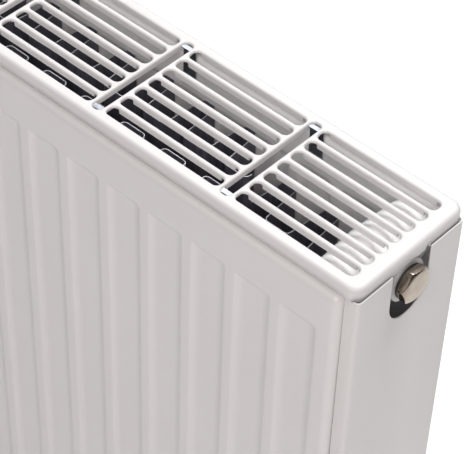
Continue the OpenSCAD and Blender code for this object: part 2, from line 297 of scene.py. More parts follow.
def rounded_line(points, r, steps=6):
    """A polyline with every corner but its ends rounded to radius r."""
    points = [np.array(p, float) for p in points]
    line = [points[0]]
    for a, b, c in zip(points, points[1:], points[2:]):
        u, v = (a - b) / np.linalg.norm(a - b), (c - b) / np.linalg.norm(c - b)
        half = math.acos(max(-1, min(1, float(u @ v)))) / 2
        centre = b + (u + v) / np.linalg.norm(u + v) * r / math.sin(half)
        p, q = b + u * r / math.tan(half) - centre, b + v * r / math.tan(half) - centre
        turn = math.atan2(p[0] * q[1] - p[1] * q[0], float(p @ q))
        for i in range(steps + 1):
            t = turn * i / steps
            spin = np.array([[math.cos(t), -math.sin(t)], [math.sin(t), math.cos(t)]])
            line.append(centre + spin @ p)
    return line + [points[-1]]


# ---- Materials --------------------------------------------------------------------------------

def new_material(name):
    material = bpy.data.materials.new(name)
    material.use_nodes = True
    tree = material.node_tree
    return material, tree, tree.nodes["Principled BSDF"]


def node(tree, kind, **inputs):
    made = tree.nodes.new(kind)
    for key, value in inputs.items():
        made.inputs[key.replace("_", " ")].default_value = value
    return made


def noise(tree, scale, detail=3.0, stretch=(1, 1, 1)):
    """Noise in the object's own metres."""
    coords = tree.nodes.new("ShaderNodeTexCoord")
    mapping = tree.nodes.new("ShaderNodeMapping")
    mapping.inputs["Scale"].default_value = stretch
    made = node(tree, "ShaderNodeTexNoise", Scale=scale, Detail=detail)
    tree.links.new(coords.outputs["Object"], mapping.inputs["Vector"])
    tree.links.new(mapping.outputs["Vector"], made.inputs["Vector"])
    return made


def ramp(tree, source, stops):
    made = tree.nodes.new("ShaderNodeValToRGB")
    elements = made.color_ramp.elements
    while len(elements) < len(stops):
        elements.new(0.5)
    for element, (at, colour) in zip(elements, stops):
        element.position = at
        element.color = (*colour, 1)
    tree.links.new(source, made.inputs["Fac"])
    return made.outputs["Color"]


def spread(tree, source, low, high):
    made = node(tree, "ShaderNodeMapRange")
    made.inputs["To Min"].default_value = low
    made.inputs["To Max"].default_value = high
    tree.links.new(source, made.inputs["Value"])
    return made.outputs["Result"]


def bump(tree, shader, source, distance, strength=1.0, below=None):
    made = node(tree, "ShaderNodeBump", Strength=strength, Distance=distance)
    tree.links.new(source, made.inputs["Height"])
    if below:
        tree.links.new(below.outputs["Normal"], made.inputs["Normal"])
    tree.links.new(made.outputs["Normal"], shader.inputs["Normal"])
    return made


def enamel(name, pale, deep, roughness, peel):
    """Stoved enamel or plastic: faint mottling, and an orange-peel surface."""
    material, tree, shader = new_material(name)
    mottle = noise(tree, 9.0, 4.0)
    tree.links.new(ramp(tree, mottle.outputs["Fac"], [(0.3, deep), (0.7, pale)]), shader.inputs["Base Color"])
    haze = noise(tree, 60.0, 5.0)
    tree.links.new(spread(tree, haze.outputs["Fac"], roughness - 0.05, roughness + 0.06),
                   shader.inputs["Roughness"])
    grain = noise(tree, 900.0, 2.0)
    swell = noise(tree, 160.0, 2.0)
    fine = bump(tree, shader, grain.outputs["Fac"], peel)
    bump(tree, shader, swell.outputs["Fac"], peel * 1.6, below=fine)
    return material


def dark_primer(name):
    """Thin dark primer on rolled steel: streaks along the height and a dull sheen."""
    material, tree, shader = new_material(name)
    streaks = noise(tree, 60.0, 5.0, stretch=(6, 6, 0.5))
    colour = ramp(tree, streaks.outputs["Fac"],
                  [(0.25, (0.075, 0.075, 0.095)), (0.55, (0.115, 0.115, 0.145)), (0.8, (0.17, 0.17, 0.20))])
    tree.links.new(colour, shader.inputs["Base Color"])
    tree.links.new(spread(tree, streaks.outputs["Fac"], 0.34, 0.6), shader.inputs["Roughness"])
    grain = noise(tree, 700.0, 3.0)
    bump(tree, shader, grain.outputs["Fac"], 0.00006)
    return material


def inner_enamel_painted_light_and_shade(name, pale, primer, roughness):
    """Enamel with painted light and shade: lighter than the outer white near the top, turning to a near-black
    painted shade down between the water panels.
    """
    material, tree, shader = new_material(name)
    coords = tree.nodes.new("ShaderNodeTexCoord")
    split = tree.nodes.new("ShaderNodeSeparateXYZ")
    tree.links.new(coords.outputs["Object"], split.inputs["Vector"])
    depth = node(tree, "ShaderNodeMapRange")
    depth.inputs["From Min"].default_value = 0.44
    depth.inputs["From Max"].default_value = 0.56
    tree.links.new(split.outputs["Z"], depth.inputs["Value"])
    cloud = noise(tree, 25.0, 4.0)
    shift = spread(tree, cloud.outputs["Fac"], -0.15, 0.15)
    total = tree.nodes.new("ShaderNodeMath")
    tree.links.new(depth.outputs["Result"], total.inputs[0])
    tree.links.new(shift, total.inputs[1])
    # primer is the near-black painted shade low between the panels; pale is the lighter painted white above.
    colour = ramp(tree, total.outputs["Value"], [(0.0, primer), (0.95, pale)])
    tree.links.new(colour, shader.inputs["Base Color"])
    tree.links.new(spread(tree, cloud.outputs["Fac"], roughness - 0.05, roughness + 0.12),
                   shader.inputs["Roughness"])
    grain = noise(tree, 600.0, 2.0)
    bump(tree, shader, grain.outputs["Fac"], 0.00002)
    return material


def metal(name, pale, deep, roughness, lines=(1, 1, 1), scale=220.0, depth=0.00003):
    """Plated or bare metal with fine lines in one direction."""
    material, tree, shader = new_material(name)
    shader.inputs["Metallic"].default_value = 1.0
    stain = noise(tree, 150.0, 4.0)
    tree.links.new(ramp(tree, stain.outputs["Fac"], [(0.3, deep), (0.65, pale)]), shader.inputs["Base Color"])
    grain = noise(tree, scale, 6.0, stretch=lines)
    tree.links.new(spread(tree, grain.outputs["Fac"], roughness - 0.08, roughness + 0.12),
                   shader.inputs["Roughness"])
    bump(tree, shader, grain.outputs["Fac"], depth)
    return material


def rubber(name):
    material, tree, shader = new_material(name)
    grain = noise(tree, 1500.0, 3.0)
    colour = ramp(tree, grain.outputs["Fac"], [(0.3, (0.010, 0.010, 0.011)), (0.8, (0.028, 0.028, 0.030))])
    tree.links.new(colour, shader.inputs["Base Color"])
    tree.links.new(spread(tree, grain.outputs["Fac"], 0.42, 0.62), shader.inputs["Roughness"])
    bump(tree, shader, grain.outputs["Fac"], 0.00003)
    return material


WHITE = enamel("white_enamel", (0.755, 0.742, 0.737), (0.735, 0.721, 0.715), 0.42, 0.000010)
# Tees: a lighter copy of the white enamel, painted light so they look brightly lit between the water panels.
LIT_TEE_WHITE = enamel("tee_enamel_painted_light", (0.92, 0.915, 0.91), (0.88, 0.875, 0.87), 0.34, 0.00002)
# Inner sheets: painted light and shade, a lighter white up top and a near-black painted shade low between the
# water panels.
INSIDE_PAINTED_LIGHT_AND_SHADE = inner_enamel_painted_light_and_shade("inner_enamel_painted_light_and_shade", (0.93, 0.925, 0.93), (0.10, 0.10, 0.115), 0.4)
FINS = dark_primer("convector_primer")
FIN_EDGE = metal("sheared_edge", (0.62, 0.62, 0.64), (0.40, 0.40, 0.43), 0.42, lines=(1, 1, 4))
BOSS_GREY = enamel("boss_primer", (0.54, 0.53, 0.53), (0.44, 0.43, 0.44), 0.38, 0.00002)
THREAD = metal("cut_thread", (0.66, 0.65, 0.64), (0.46, 0.45, 0.44), 0.34)
NICKEL = metal("satin_nickel", (0.425, 0.365, 0.30), (0.355, 0.30, 0.247), 0.20, lines=(0.4, 3, 3),
               depth=0.000008)
SPRING = metal("spring_steel", (0.42, 0.44, 0.47), (0.30, 0.32, 0.35), 0.38, lines=(4, 4, 0.4))
RUBBER = rubber("o_ring_rubber")
COLLAR = enamel("collar_plastic", (0.84, 0.84, 0.82), (0.80, 0.80, 0.78), 0.36, 0.000008)
BRASS = metal("turned_brass", (0.78, 0.60, 0.30), (0.64, 0.47, 0.22), 0.28, lines=(6, 1, 1))


# ---- Water panels -----------------------------------------------------------------------------

def ease(t, e=0.15):
    """Ramp from 0 to 1 with soft bends at both ends."""
    t = np.asarray(t, float)
    low = np.clip(t + e, 0, 2 * e) ** 2 / (4 * e) + np.clip(t - e, 0, None)
    high = np.clip(t - 1 + e, 0, 2 * e) ** 2 / (4 * e) + np.clip(t - 1 - e, 0, None)
    return low - high


def groove_depth(x, z):
    """How deep the grooves are pressed at (x, z)."""
    z0, z1 = BOTTOM_BAND, PANEL_TOP - TOP_BAND
    run = (GROOVE_MOUTH - GROOVE_FLOOR) / 2
    nearest = np.clip(np.round(x / PITCH), -GROOVE_SIDE, GROOVE_SIDE) * PITCH
    across = GROOVE_MOUTH / 2 - np.abs(x - nearest)
    along = (z1 - z0) / 2 - np.abs(z - (z0 + z1) / 2)
    corner = 3.0
    a, b = np.clip(corner - across, 0, None), np.clip(corner - along, 0, None)
    edge = np.minimum(np.minimum(across, along), corner - np.hypot(a, b))
    return GROOVE_DEPTH * ease(edge / run)


def sheet_lines():
    """Grid of a sheet: steps down the lip, steps over the rim's bend, and lines along x and along z."""
    turn = np.radians(np.linspace(0, 45, 5))
    side = [(1, 1 - math.tan(t)) for t in turn[:-1]]
    lip = [(1, None)] + side
    edge = [math.tan(t) for t in turn[::-1]]
    offsets = [0, 4.2, 4.9, 5.7, 6.5, 9.2, 11.8, 12.6, 13.4, 14.1, 16.0]
    xs = sorted({round(s * u + i * PITCH, 4) for i in range(-GROOVE_SIDE, GROOVE_SIDE + 1)
                 for u in offsets for s in (-1, 1)})
    run = [-1.2, -0.5, 0.3, 1.2, 2.5, 3.8, 5.1, 6.4, 7.2, 8.0, 8.8, 11]
    zs = [BOTTOM_BAND + r for r in run] + [PANEL_TOP - TOP_BAND - r for r in run[::-1]]
    zs = sorted(zs + [20, 150, 300, 450, PANEL_TOP - 14])
    return lip, edge, xs, zs


def sheet_surface(inset):
    """One side of a pressed sheet as a grid: x, depth behind the front face, z."""
    lip, edge, xs, zs = sheet_lines()
    r = RIM_R - inset
    back = SEAM

    def lines(low, high, inner):
        places, depths = [], []
        for _, d in lip:
            places.append(low)
            depths.append(back if d is None else inset + d * r)
        places += [low + r - e * r for e in edge]
        depths += [inset] * len(edge)
        places += inner
        depths += [inset] * len(inner)
        places += [high - r + e * r for e in edge[::-1]]
        depths += [inset] * len(edge)
        for _, d in lip[::-1]:
            places.append(high)
            depths.append(back if d is None else inset + d * r)
        return np.array(places), np.array(depths)

    half = PANEL_HALF - inset
    x, dx = lines(-half, half, xs)
    z, dz = lines(inset, PANEL_TOP - inset, zs)
    X, Z = np.meshgrid(x, z)
    D = np.maximum(*np.meshgrid(dx, dz))
    flat = np.stack([X, D, Z], axis=-1)
    core = np.stack([np.clip(X, -half + r, half - r), np.maximum(D, inset + r),
                     np.clip(Z, inset + r, PANEL_TOP - inset - r)], axis=-1)
    out = flat - core
    length = np.linalg.norm(out, axis=-1, keepdims=True)
    surface = np.where(length > 1e-6, core + out / np.maximum(length, 1e-6) * r, flat)
    surface[..., 1] += groove_depth(surface[..., 0], surface[..., 2]) * (surface[..., 1] < inset + 0.5)
    return surface


OUTER_SURFACE = sheet_surface(0)
INNER_SURFACE = sheet_surface(SHEET)


def pressed_sheet(name, face_y, towards, material):
    """A pressed sheet with its face at face_y, its hollow side towards +Y (1) or -Y (-1)."""
    shell = Shell()
    surfaces = []
    for surface in (OUTER_SURFACE, INNER_SURFACE):
        placed = surface.copy()
        placed[..., 1] = face_y + towards * surface[..., 1]
        surfaces.append(placed)
        shell.grid(placed)
    outer, inner = surfaces
    for pick in (np.s_[0, :], np.s_[-1, :], np.s_[:, 0], np.s_[:, -1]):
        shell.grid([outer[pick], inner[pick]])
    return shell.build(name + "_pressing", "radiator", [name], [material], angle=50)


def water_panels():
    pressed_sheet("front_panel_outer_sheet", MID_Y - FACE, 1, WHITE)
    # The inner sheets carry the painted light and shade.
    pressed_sheet("front_panel_inner_sheet", MID_Y - INNER, -1, INSIDE_PAINTED_LIGHT_AND_SHADE)
    pressed_sheet("rear_panel_inner_sheet", MID_Y + INNER, 1, INSIDE_PAINTED_LIGHT_AND_SHADE)
    pressed_sheet("rear_panel_outer_sheet", MID_Y + FACE, -1, WHITE)


# ---- Convectors -------------------------------------------------------------------------------

def convector(name, side):
    """Folded sheet on the inner side of one water panel: side is -1 at the front, 1 at the rear."""
    weld, crest, depth, thick = 10.0, 17.9, fins_high[1] - fins_low[1] - 0.6, 0.6
    top, bottom, step, step_x = fins_high[2], fins_low[2], 23.0, HALF_LEN - 127
    corners = []
    count = BAYS * 3 - 5
    for k in range(count + 1):
        x = (k - count / 2) * PITCH
        m = (PITCH - crest) / 2
        corners += [(x - m, depth), (x - weld / 2, 0), (x + weld / 2, 0), (x + m, depth)]
    line = rounded_line(corners, 3.0, 6)
    cuts = {-1: [], 0: [], 1: []}
    for a, b in zip(line, line[1:]):
        for limit in (-step_x, step_x):
            if (a[0] - limit) * (b[0] - limit) < 0:
                t = (limit - a[0]) / (b[0] - a[0])
                cuts[int(np.sign(limit))].append(a + (b - a) * t)
    parts = [
        [p for p in line if p[0] < -step_x] + cuts[-1][:1],
        cuts[-1][:1] + [p for p in line if abs(p[0]) < step_x] + cuts[1][:1],
        cuts[1][:1] + [p for p in line if p[0] > step_x],
    ]
    shell = Shell()
    place = lambda x, d, z: (x, MID_Y + side * (INNER - thick / 2 - d), z)
    for part, trim in zip(parts, (step, 0, step)):
        folded(shell, part, (bottom + trim, top - trim), thick, place, slot=0, edge_slot=1)
    return shell.build(name + "_folds", "radiator", [name], [FINS, FIN_EDGE], angle=40)


# ---- Grille -----------------------------------------------------------------------------------

def rounded_loop(cx, cy, w, h, r, stop, steps=7):
    """Points, outward directions and lip flags round a rounded rectangle. Lips lie on the long sides."""
    points, normals, lips = [], [], []
    long_x = w > h
    for sx, sy, start in CORNERS:
        ox, oy = cx + sx * (w / 2 - r), cy + sy * (h / 2 - r)
        for a in np.radians(np.linspace(start, start + 90, steps + 1)):
            points.append((ox + r * math.cos(a), oy + r * math.sin(a)))
            normals.append((math.cos(a), math.sin(a)))
            lips.append(0)
        along_x = start in (0, 180)
        if along_x == long_x:
            length = (w if long_x else h) / 2 - stop
            first = sx if long_x else sy
            normal = (0, sy) if long_x else (sx, 0)
            for at, lip in ((length, 0), (length - 0.15, 1), (-length + 0.15, 1), (-length, 0)):
                if long_x:
                    points.append((cx + first * at, cy + sy * h / 2))
                else:
                    points.append((cx + sx * w / 2, cy + first * at))
                normals.append(normal)
                lips.append(lip)
    return np.array(points), np.array(normals), np.array(lips)


def grille_slots():
    half = grille_high[0]
    field = (SLOT_ROWS - 1) * SLOT_PITCH + SLOT_W + CROSS_EXTRA
    loops = []
    for i in range(BAYS):
        x = (i - BAYS / 2) * BAY
        x0 = -half + END_MARGIN if i == 0 else x + BAY_GAP / 2
        x1 = half - END_MARGIN if i == BAYS - 1 else x + BAY - BAY_GAP / 2
        for row in range(SLOT_ROWS):
            y = (row - (SLOT_ROWS - 1) / 2) * SLOT_PITCH
            loops.append(rounded_loop((x0 + x1) / 2, y, x1 - x0, SLOT_W, SLOT_CORNER, LIP_STOP))
        if i:
            loops.append(rounded_loop(x, 0, CROSS_W, field, SLOT_CORNER, LIP_STOP))
    return loops


def flange_bottom(x, y):
    """How far the flange reaches below the grille's top: an arch over the boss, a notch to its rear."""
    low, end_low = FLANGE_H, END_FLANGE_H
    half, y_half = grille_high[0], (grille_high[1] - grille_low[1]) / 2
    if half - abs(x) > 0.01:
        corner = 8
        t = np.clip((abs(x) - (half - corner)) / corner, 0, 1) if y_half - abs(y) < corner else 1
        return low + (end_low - low) * t ** 2
    drop = HEIGHT - HUB_TOP
    depth = end_low
    if abs(y) < CUT_R:
        depth = min(depth, drop - math.sqrt(CUT_R ** 2 - y ** 2))
    notch_start, notch_end, notch_ramp, notch_rise = 10.6, 15.5, 1.8, 3.0
    if notch_start < y <= notch_end:
        blend = np.clip((y - notch_start) / notch_ramp, 0, 1)
        depth = min(depth, end_low - notch_rise * blend * blend * (3 - 2 * blend))
    return depth


def grille_outline():
    """Points and outward directions round the grille in plan."""
    half, y_half, r = grille_high[0], (grille_high[1] - grille_low[1]) / 2, 8.0
    points, normals = [], []
    for sx, sy, start in CORNERS:
        for a in np.radians(np.linspace(start, start + 90, 13)):
            points.append((sx * (half - r) + r * math.cos(a), sy * (y_half - r) + r * math.sin(a)))
            normals.append((math.cos(a), math.sin(a)))
        if start in (90, 270):
            ys = list(np.linspace(-30, -10, 3)) + list(np.linspace(-9, 15.5, 50)) + [15.51, 25, 35]
            for y in (ys if start == 270 else ys[::-1]):
                points.append((sx * half, y))
                normals.append((sx, 0))
    return np.array(points), np.array(normals)


def grille():
    shell = Shell()
    top = HEIGHT

    def place(z):
        return lambda x, y: (x, MID_Y + y, z)

    def ring(points, normals, offset, depths):
        moved = points + normals * offset
        return [(x, MID_Y + y, top - d) for (x, y), d in zip(moved, np.broadcast_to(depths, len(moved)))]

    loops = grille_slots()
    curl, drop = 1.25, 1.5
    quarter = np.radians(np.linspace(0, 90, 6))
    for points, normals, lips in loops:
        bottom = np.where(lips == 1, LIP_BOTTOM, drop + 0.1)
        rows = [ring(points, normals, curl * (1 - math.sin(a)), drop * (1 - math.cos(a))) for a in quarter]
        rows.append(ring(points, normals, 0, bottom))
        rows.append(ring(points, normals, 0.25, bottom + 0.12))
        rows.append(ring(points, normals, COVER - 0.2, bottom + 0.12))
        rows.append(ring(points, normals, COVER, bottom))
        rows.append(ring(points, normals, COVER, COVER))
        shell.grid(rows, wrap=True)
    points, normals = grille_outline()
    r = 3.0
    low = np.array([flange_bottom(x, y) for x, y in points])
    rows = [ring(points, normals, -r * (1 - math.sin(a)), r * (1 - math.cos(a)))
            for a in np.radians(np.linspace(0, 90, 9))]
    rows.append(ring(points, normals, 0, low - 0.25))
    rows.append(ring(points, normals, -0.25, low))
    rows.append(ring(points, normals, -COVER + 0.25, low))
    rows.append(ring(points, normals, -COVER, low - 0.25))
    rows += [ring(points, normals, -r + (r - COVER) * math.cos(a), COVER + (r - COVER) * (1 - math.sin(a)))
             for a in np.radians(np.linspace(0, 90, 5))]
    shell.grid(rows, wrap=True)
    shell.flat(points - normals * r, [p + n * curl for p, n, _ in loops], place(top))
    shell.flat(points - normals * r, [p + n * COVER for p, n, _ in loops], place(top - COVER))
    return shell.build("grille_cover", "grille", ["top_grille"], [WHITE], angle=50)


def grille_clips():
    """Spring straps under the cross slots."""
    strap_w, thick, length, foot = 10.0, 0.8, 24.0, 3.0
    y = INNER - 0.5 - thick / 2
    shell = Shell()
    for i in range(1, BAYS):
        x = (i - BAYS / 2) * BAY
        for side in (-1, 1):
            line = rounded_line([(y - 4, -COVER - 0.5), (y, -COVER - 0.5), (y, -length),
                                 (y - foot, -length - foot)], 1.2)
            place = lambda u, v, w, s=side: (w, MID_Y + s * u, HEIGHT + v)
            folded(shell, line, (x - strap_w / 2, x + strap_w / 2), thick, place)
    return shell.build("grille_spring_straps", "grille", ["grille_clips"], [SPRING])


# ---- Side panels ------------------------------------------------------------------------------

def side_outline():
    """Outline of a side panel laid flat: s across it from the front flange's edge, and z."""
    y0, y1 = side_low[1], side_high[1]
    flange, bend = side_high[0] - side_low[0], SIDE_BEND
    middle_r = bend - SIDE_SHEET / 2
    quarter = math.pi / 2 * middle_r
    s1 = flange - bend
    s2 = s1 + quarter
    s3 = s2 + (y1 - y0) - 2 * bend
    s4 = s3 + quarter
    s5 = s4 + flange - bend
    low, high = side_low[2], side_high[2]
    shoulder, dip = HEIGHT - FLANGE_H - 0.3, HEIGHT - FLANGE_H - 0.7
    cut_s = s2 + (MID_Y - 1.2 - (y0 + bend))
    top_z, low_z = HUB_TOP - CUT_DROP, HUB_LOW + CUT_DROP
    outline = [(0, low), (s1, low), (s2, low), (cut_s - CUT_R, low)]
    outline += arc(cut_s, low_z, CUT_R, 180, 0, 40)
    outline += [(cut_s + CUT_R, low), (s3, low), (s4, low), (s5, low), (s5, shoulder)]
    outline += [(s4 + 4, shoulder)]
    outline += [(s4 + 2.0, dip), (s4 + 1.5, high - 0.3), (s4 + 1.2, high), (s4, high), (s3, high)]
    outline += [(cut_s + CUT_R, high)]
    outline += arc(cut_s, top_z, CUT_R, 0, -180, 40)
    outline += [(cut_s - CUT_R, high), (s2, high), (s1, high), (s1 - 1.2, high), (s1 - 1.5, high - 0.3)]
    outline += [(s1 - 2.0, dip), (s1 - 4, shoulder), (0, shoulder)]
    return outline, (s1, s2, s3, s4)


def side_place(bends, offset):
    """Folds a flat point of a side panel to its place; offset is measured out from the middle."""
    s1, s2, s3, s4 = bends
    bend, thick = SIDE_BEND, SIDE_SHEET
    middle_r = bend - thick / 2
    x1, y0, y1 = side_high[0], side_low[1], side_high[1]

    def place(s, z):
        out = offset
        if s <= s1:
            return (x1 - bend - (s1 - s), y0 + thick / 2 - out, z)
        if s < s2:
            a = (s - s1) / middle_r
            return (x1 - bend + (middle_r + out) * math.sin(a), y0 + bend - (middle_r + out) * math.cos(a), z)
        if s <= s3:
            return (x1 - thick / 2 + out, y0 + bend + (s - s2), z)
        if s < s4:
            a = (s - s3) / middle_r
            return (x1 - bend + (middle_r + out) * math.cos(a), y1 - bend + (middle_r + out) * math.sin(a), z)
        return (x1 - bend - (s - s4), y1 - thick / 2 + out, z)

    return place


def side_panel(name, body, mirrored):
    outline, bends = side_outline()
    s1, s2, s3, s4 = bends
    folds = [t for a, b in ((s1, s2), (s3, s4)) for t in np.linspace(a, b, 9)]
    rim = []
    for (a, za), (b, zb) in zip(outline, outline[1:] + outline[:1]):
        rim.append((a, za))
        crossed = sorted((t for t in folds if min(a, b) + 1e-4 < t < max(a, b) - 1e-4), reverse=a > b)
        rim += [(t, za + (zb - za) * (t - a) / (b - a)) for t in crossed]
    lines = []
    for t in folds:
        on = [i for i, (a, _) in enumerate(rim) if abs(a - t) < 1e-3]
        lines.append((min(on, key=lambda i: rim[i][1]), max(on, key=lambda i: rim[i][1])))
    shell = Shell()
    places = [side_place(bends, offset) for offset in (-SIDE_SHEET / 2, SIDE_SHEET / 2)]
    for place in places:
        shell.flat(rim, [], place, folds=lines)
    shell.grid([[place(*p) for p in rim] for place in places], wrap=True)
    return shell.build(name + "_cover", body, [name], [WHITE], angle=40, bevel=0.2,
                       mirrored=mirrored)


def side_clips(name, body, mirrored):
    """Spring clips that reach in beside the water panels."""
    clip_w, thick, reach, base = 20.0, 0.8, 20.0, 12.0
    shell = Shell()
    y = INNER - 0.5 - thick / 2
    x = HALF_LEN - SIDE_SHEET - thick / 2
    for z in (HEIGHT / 4, HEIGHT * 3 / 4):
        for side in (-1, 1):
            line = rounded_line([(x, y - base + thick / 2), (x, y), (x - reach + 3, y),
                                 (x - reach, y - 2.5)], 1.3)
            place = lambda u, v, w, s=side: (u, MID_Y + s * v, w)
            folded(shell, line, (z - clip_w / 2, z + clip_w / 2), thick, place)
    return shell.build(name + "_springs", body, [name], [SPRING], bevel=0.15,
                       mirrored=mirrored)


# ---- Tees and bosses --------------------------------------------------------------------------

def blended(name, parts, voxel, rounds):
    """Joins closed shells into one skin with soft fillets, as pressed steel has."""
    mesh = bpy.data.meshes.new(name)
    shell = Shell()
    for part in parts:
        part(shell)
    mesh.from_pydata([(x * MM, y * MM, z * MM) for x, y, z in shell.points], [], shell.faces)
    bm = bmesh.new()
    bm.from_mesh(mesh)
    bmesh.ops.remove_doubles(bm, verts=bm.verts, dist=2e-6)
    bmesh.ops.recalc_face_normals(bm, faces=bm.faces)
    bm.to_mesh(mesh)
    bm.free()
    rough = link(name, mesh)
    remesh = rough.modifiers.new("skin", "REMESH")
    remesh.mode = "VOXEL"
    remesh.voxel_size = voxel * MM
    smooth = rough.modifiers.new("soften", "SMOOTH")
    smooth.factor = 0.6
    smooth.iterations = rounds
    evaluated = rough.evaluated_get(bpy.context.evaluated_depsgraph_get())
    skin = bpy.data.meshes.new_from_object(evaluated)
    bpy.data.objects.remove(rough)
    return skin


def turned(profile, place, steps=48):
    """A closed solid of revolution from a profile of (along, radius) that starts and ends at radius 0."""
    def part(shell):
        rows = []
        for angle in np.linspace(0, 2 * math.pi, steps, endpoint=False):
            c, s = math.cos(angle), math.sin(angle)
            rows.append([place(along, r * c, r * s) for along, r in profile])
        shell.grid(rows + rows[:1])
    return part


def tees():
    """Four pressed tees, all copies of one closed skin made for the right, with its hub at z = 0."""
    half = INNER - 3.2
    across = lambda along, a, b: (TEE_X + a, MID_Y + along, b)
    outward = lambda along, a, b: (along, MID_Y + a, b)
    body = [(-half, 0), (-half, 13.5), (-half + 1.5, 15.8), (-half + 4, 16.9), (-18, 17.6), (0, 18.5),
            (18, 17.6), (half - 4, 16.9), (half - 1.5, 15.8), (half, 13.5), (half, 0)]
    reach = INNER + 0.8
    neck = [(-reach, 0), (-reach, 12), (reach, 12), (reach, 0)]
    collar = [(TEE_X, 0), (TEE_X, 16.2), (BOSS_END - 7, 16.2), (BOSS_END - 6, 15.2), (BOSS_END - 6, 0)]
    skin = blended("tee_skin", [turned(body, across), turned(neck, across), turned(collar, outward)], 0.8, 10)
    for left in (0, 1):
        for hub, level in ((HUB_TOP, "top"), (HUB_LOW, "bottom")):
            name = f"{level}_{'left' if left else 'right'}_tee"
            mesh = skin.copy()
            mesh.transform(Matrix.Translation((0, 0, hub * MM)))
            if left:
                mesh.transform(Matrix.Scale(-1, 4, (1, 0, 0)))
                mesh.flip_normals()
            # The tees get the lighter, painted-light copy of the white enamel.
            mesh.materials.clear()
            mesh.materials.append(LIT_TEE_WHITE)
            mesh.shade_smooth()
            finish_piece(link(name + "_skin", mesh), "radiator", [name])


def thread_radius(x, angle, crest, root):
    """Radius of a rounded 55 degree thread, right-handed about +X."""
    phase = x / THREAD_PITCH + angle / (2 * math.pi)
    return crest + (root - crest) * (0.5 + 0.5 * math.cos(2 * math.pi * phase)) ** 0.8


def threaded_rows(x0, x1, crest, root, limit, angles):
    """Rows of (x, radius at each angle) along a thread, held inside limit(x)."""
    steps = int(abs(x1 - x0) / THREAD_PITCH * 8)
    rows = []
    for x in np.linspace(x0, x1, steps + 1):
        rows.append((x, [limit(x, thread_radius(x, a, crest, root)) for a in angles]))
    return rows


def rings(shell, rows, angles, hub, slot=0, close=True):
    """A grid from (x, radius or radii) rows about a connection's axis."""
    points = []
    for x, r in rows:
        xs, rs = np.broadcast_to(x, len(angles)), np.broadcast_to(r, len(angles))
        points.append([(xa, MID_Y + ra * math.cos(a), hub + ra * math.sin(a))
                       for xa, ra, a in zip(xs, rs, angles)])
    if close:
        points.append(points[0])
    shell.grid(points, wrap=True, slot=slot)


def boss(name, hub, mirrored):
    """Internally threaded boss with a chamfered mouth."""
    angles = np.linspace(0, 2 * math.pi, 72, endpoint=False)
    mouth = lambda x, r: max(r, 10.75 - (BOSS_END - x))
    inner = threaded_rows(BOSS_END, BOSS_END - THREAD_LEN, THREAD_R, THREAD_ROOT_R, mouth, angles)
    outside = [(BOSS_START, WATER_WAY_R), (BOSS_START, BOSS_R - 0.4), (BOSS_START + 0.4, BOSS_R)]
    edge = [(BOSS_END - 0.8 * (1 - math.sin(a)), BOSS_R - 0.8 * (1 - math.cos(a)))
            for a in np.radians(np.linspace(0, 90, 5))]
    shell = Shell()
    rings(shell, outside + edge + inner[:1], angles, hub, close=False)
    water_way = [(BOSS_END - THREAD_LEN, WATER_WAY_R), (BOSS_START, WATER_WAY_R)]
    rings(shell, inner + water_way, angles, hub, slot=1, close=False)
    return shell.build(name + "_socket", "radiator", [name], [BOSS_GREY, THREAD], angle=40,
                       mirrored=mirrored)


# ---- Plugs and air vent -----------------------------------------------------------------------

def hex_radius(angle):
    """Distance from the axis to a hexagon's side, or to its blunted corner."""
    turned_by = (angle - HEX_TURN) % (math.pi / 3) - math.pi / 6
    return min(HEX_FLAT / math.cos(turned_by), HEX_CORNER)


def hex_rows(x0, x1, angles, slope=0.62):
    """Rows over a hexagon head, chamfered at both ends, from back to front."""
    full = np.array([hex_radius(a) for a in angles])
    face_r = 9.8
    back = np.minimum(full, HEX_FLAT + 0.3)
    rows = [(x0, back), (x0 + (full - back) * 0.3 + 0.02, full)]
    front = x1 - (full - face_r) * slope
    rows += [(front - 0.35, full), (front - 0.12, full - 0.06), (front, full - 0.22)]
    rows += [(x1 - 0.05, np.full(len(angles), face_r - 0.1)), (x1, np.full(len(angles), face_r - 0.35))]
    return rows


def plug_angles():
    """Even angles with extra ones where the hexagon's sides meet its blunted corners."""
    corners = [HEX_TURN + k * math.pi / 3 + d for k in range(6) for d in (-CORNER_SPAN, 0, CORNER_SPAN)]
    even = [2 * math.pi * i / 72 for i in range(72)]
    spaced = [a for a in even
              if min(abs((a - c + math.pi) % (2 * math.pi) - math.pi) for c in corners) > 0.02]
    return np.array(sorted(a % (2 * math.pi) for a in corners + spaced))


def shank_rows(angles):
    start = BOSS_END - SHANK_LEN
    taper = lambda x, r: min(r, 8.1 + (x - start))
    rows = threaded_rows(start, BOSS_END - 1.5, 8.25, 9.25, taper, angles)
    return rows + [(BOSS_END - 1.0, 9.0), (HEAD_START, 9.0)]


def blanking_plug():
    angles = plug_angles()
    shell = Shell()
    rows = [(BOSS_END - SHANK_LEN, 0.01)] + shank_rows(angles) + hex_rows(HEAD_START, HEAD_END, angles)
    rows += [(HEAD_END, 5.0), (HEAD_END, 0.01)]
    rings(shell, rows, angles, HUB_TOP, close=True)
    return shell.build("blanking_plug_hexagon", "plug", ["blanking_plug"], [NICKEL], angle=24)


def o_ring(node_name, body, mirrored):
    r = (ring_high[0] - ring_low[0]) / 2
    mid = (ring_high[2] - ring_low[2]) / 2 - r
    x = (ring_high[0] + ring_low[0]) / 2
    shell = Shell()
    profile = [(x + r * math.cos(a), mid + r * math.sin(a))
               for a in np.linspace(0, 2 * math.pi, 16, endpoint=False)]
    revolve(shell, profile, at_hub(HUB_TOP), steps=72)
    return shell.build(node_name + "_seal", body, [node_name], [RUBBER], angle=60,
                       mirrored=mirrored)


